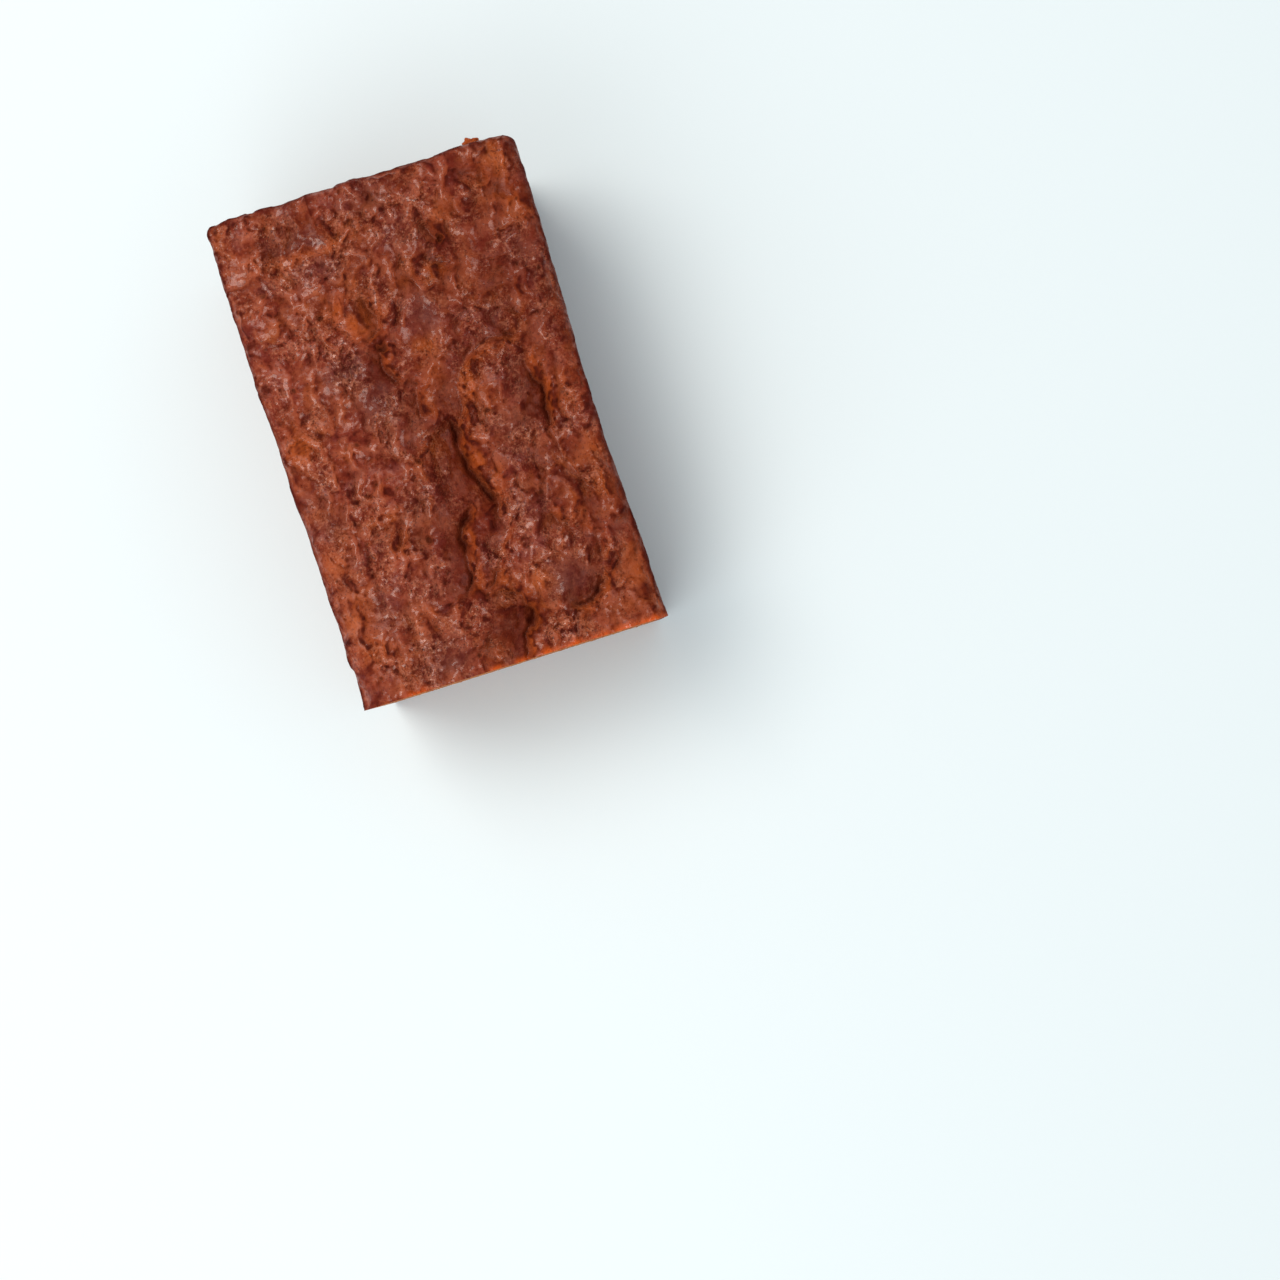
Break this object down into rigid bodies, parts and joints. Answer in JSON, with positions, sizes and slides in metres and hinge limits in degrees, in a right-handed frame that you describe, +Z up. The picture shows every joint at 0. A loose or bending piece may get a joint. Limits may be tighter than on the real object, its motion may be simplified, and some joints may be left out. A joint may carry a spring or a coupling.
{
  "type": "pound cake loaf",
  "caption": "Tin-baked pound cake loaf with a split, red-brown crust on top, lying on its flat base, cut across at one end to show the moist crumb.",
  "frame": {"origin": "under the middle of the loaf's box, on the surface it rests on", "axes": "+Z up from the base to the crust, Y along the length with the cut face at -Y, X across"},
  "size_m": [0.1098, 0.171, 0.0842],
  "materials": {
    "crust": "red-brown baked crust, fine-pebbled and a little moist",
    "crumb": "golden brown open crumb of the cut face, moist and matt"
  },
  "bodies": {
    "root": {"loaf": "crust"}
  },
  "joints": []
}
